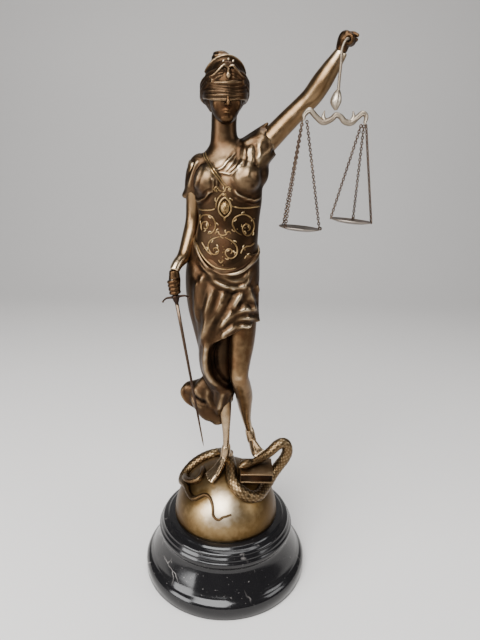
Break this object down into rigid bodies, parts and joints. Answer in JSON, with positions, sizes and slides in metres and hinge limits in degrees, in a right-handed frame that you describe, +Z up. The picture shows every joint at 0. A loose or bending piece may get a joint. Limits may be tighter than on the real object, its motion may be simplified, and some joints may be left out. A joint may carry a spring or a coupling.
{
  "type": "lady justice statue",
  "caption": "Table statue of a blindfolded woman on a globe, with raised scales, a lowered sword, a book and a serpent underfoot, on a round stepped marble base.",
  "frame": {"origin": "centre of the stone base's underside, on the surface it stands on", "axes": "+Z up from the base to the raised hand, -Y out of the figure's front, +X towards the raised arm and the scales"},
  "size_m": [0.1988, 0.164, 0.4983],
  "materials": {
    "black_marble": "polished black marble with thin white veins",
    "bronze": "brown patinated bronze, rubbed bright on its ridges",
    "dark_bronze": "dark brown patinated bronze",
    "pale_bronze": "rubbed pale bronze",
    "grey_metal": "dull grey-brown patina"
  },
  "bodies": {
    "root": {"marble_base": "black_marble", "justice_casting": "bronze", "sword": "dark_bronze", "scales_hanger": "pale_bronze", "scales_beam": "pale_bronze", "chain_left_1": "dark_bronze", "chain_left_2": "dark_bronze", "chain_left_3": "dark_bronze", "chain_right_1": "dark_bronze", "chain_right_2": "dark_bronze", "chain_right_3": "dark_bronze", "scale_pan_left": "grey_metal", "scale_pan_right": "grey_metal"}
  },
  "joints": []
}
